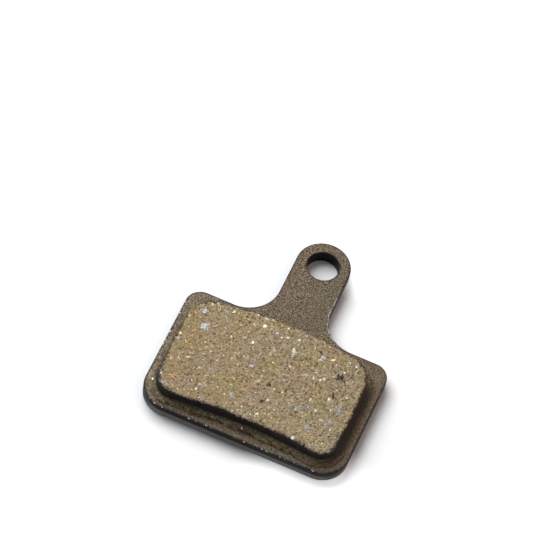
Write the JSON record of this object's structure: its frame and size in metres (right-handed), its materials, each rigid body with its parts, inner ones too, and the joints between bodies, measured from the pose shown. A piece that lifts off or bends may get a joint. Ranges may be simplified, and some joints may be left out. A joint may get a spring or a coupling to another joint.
{
  "type": "bicycle disc brake pad",
  "caption": "Flat disc brake pad: a painted steel plate with a round-ended tab and an axle hole, carrying a raised block of granular friction compound.",
  "frame": {"origin": "axis of the retaining axle's hole, on the plate's back face", "axes": "+Z along the hole from the back face to the braking face, +Y from the braking face to the tab, +X to the right seen from the friction side"},
  "size_m": [0.0292, 0.0342, 0.004],
  "materials": {
    "plate_paint": "satin black paint, with a fine sparkling grey-brown grain on the friction side",
    "friction_compound": "matte granular compound with metal flecks"
  },
  "bodies": {
    "root": {"backing_plate": "plate_paint", "friction_pad": "friction_compound"}
  },
  "joints": []
}
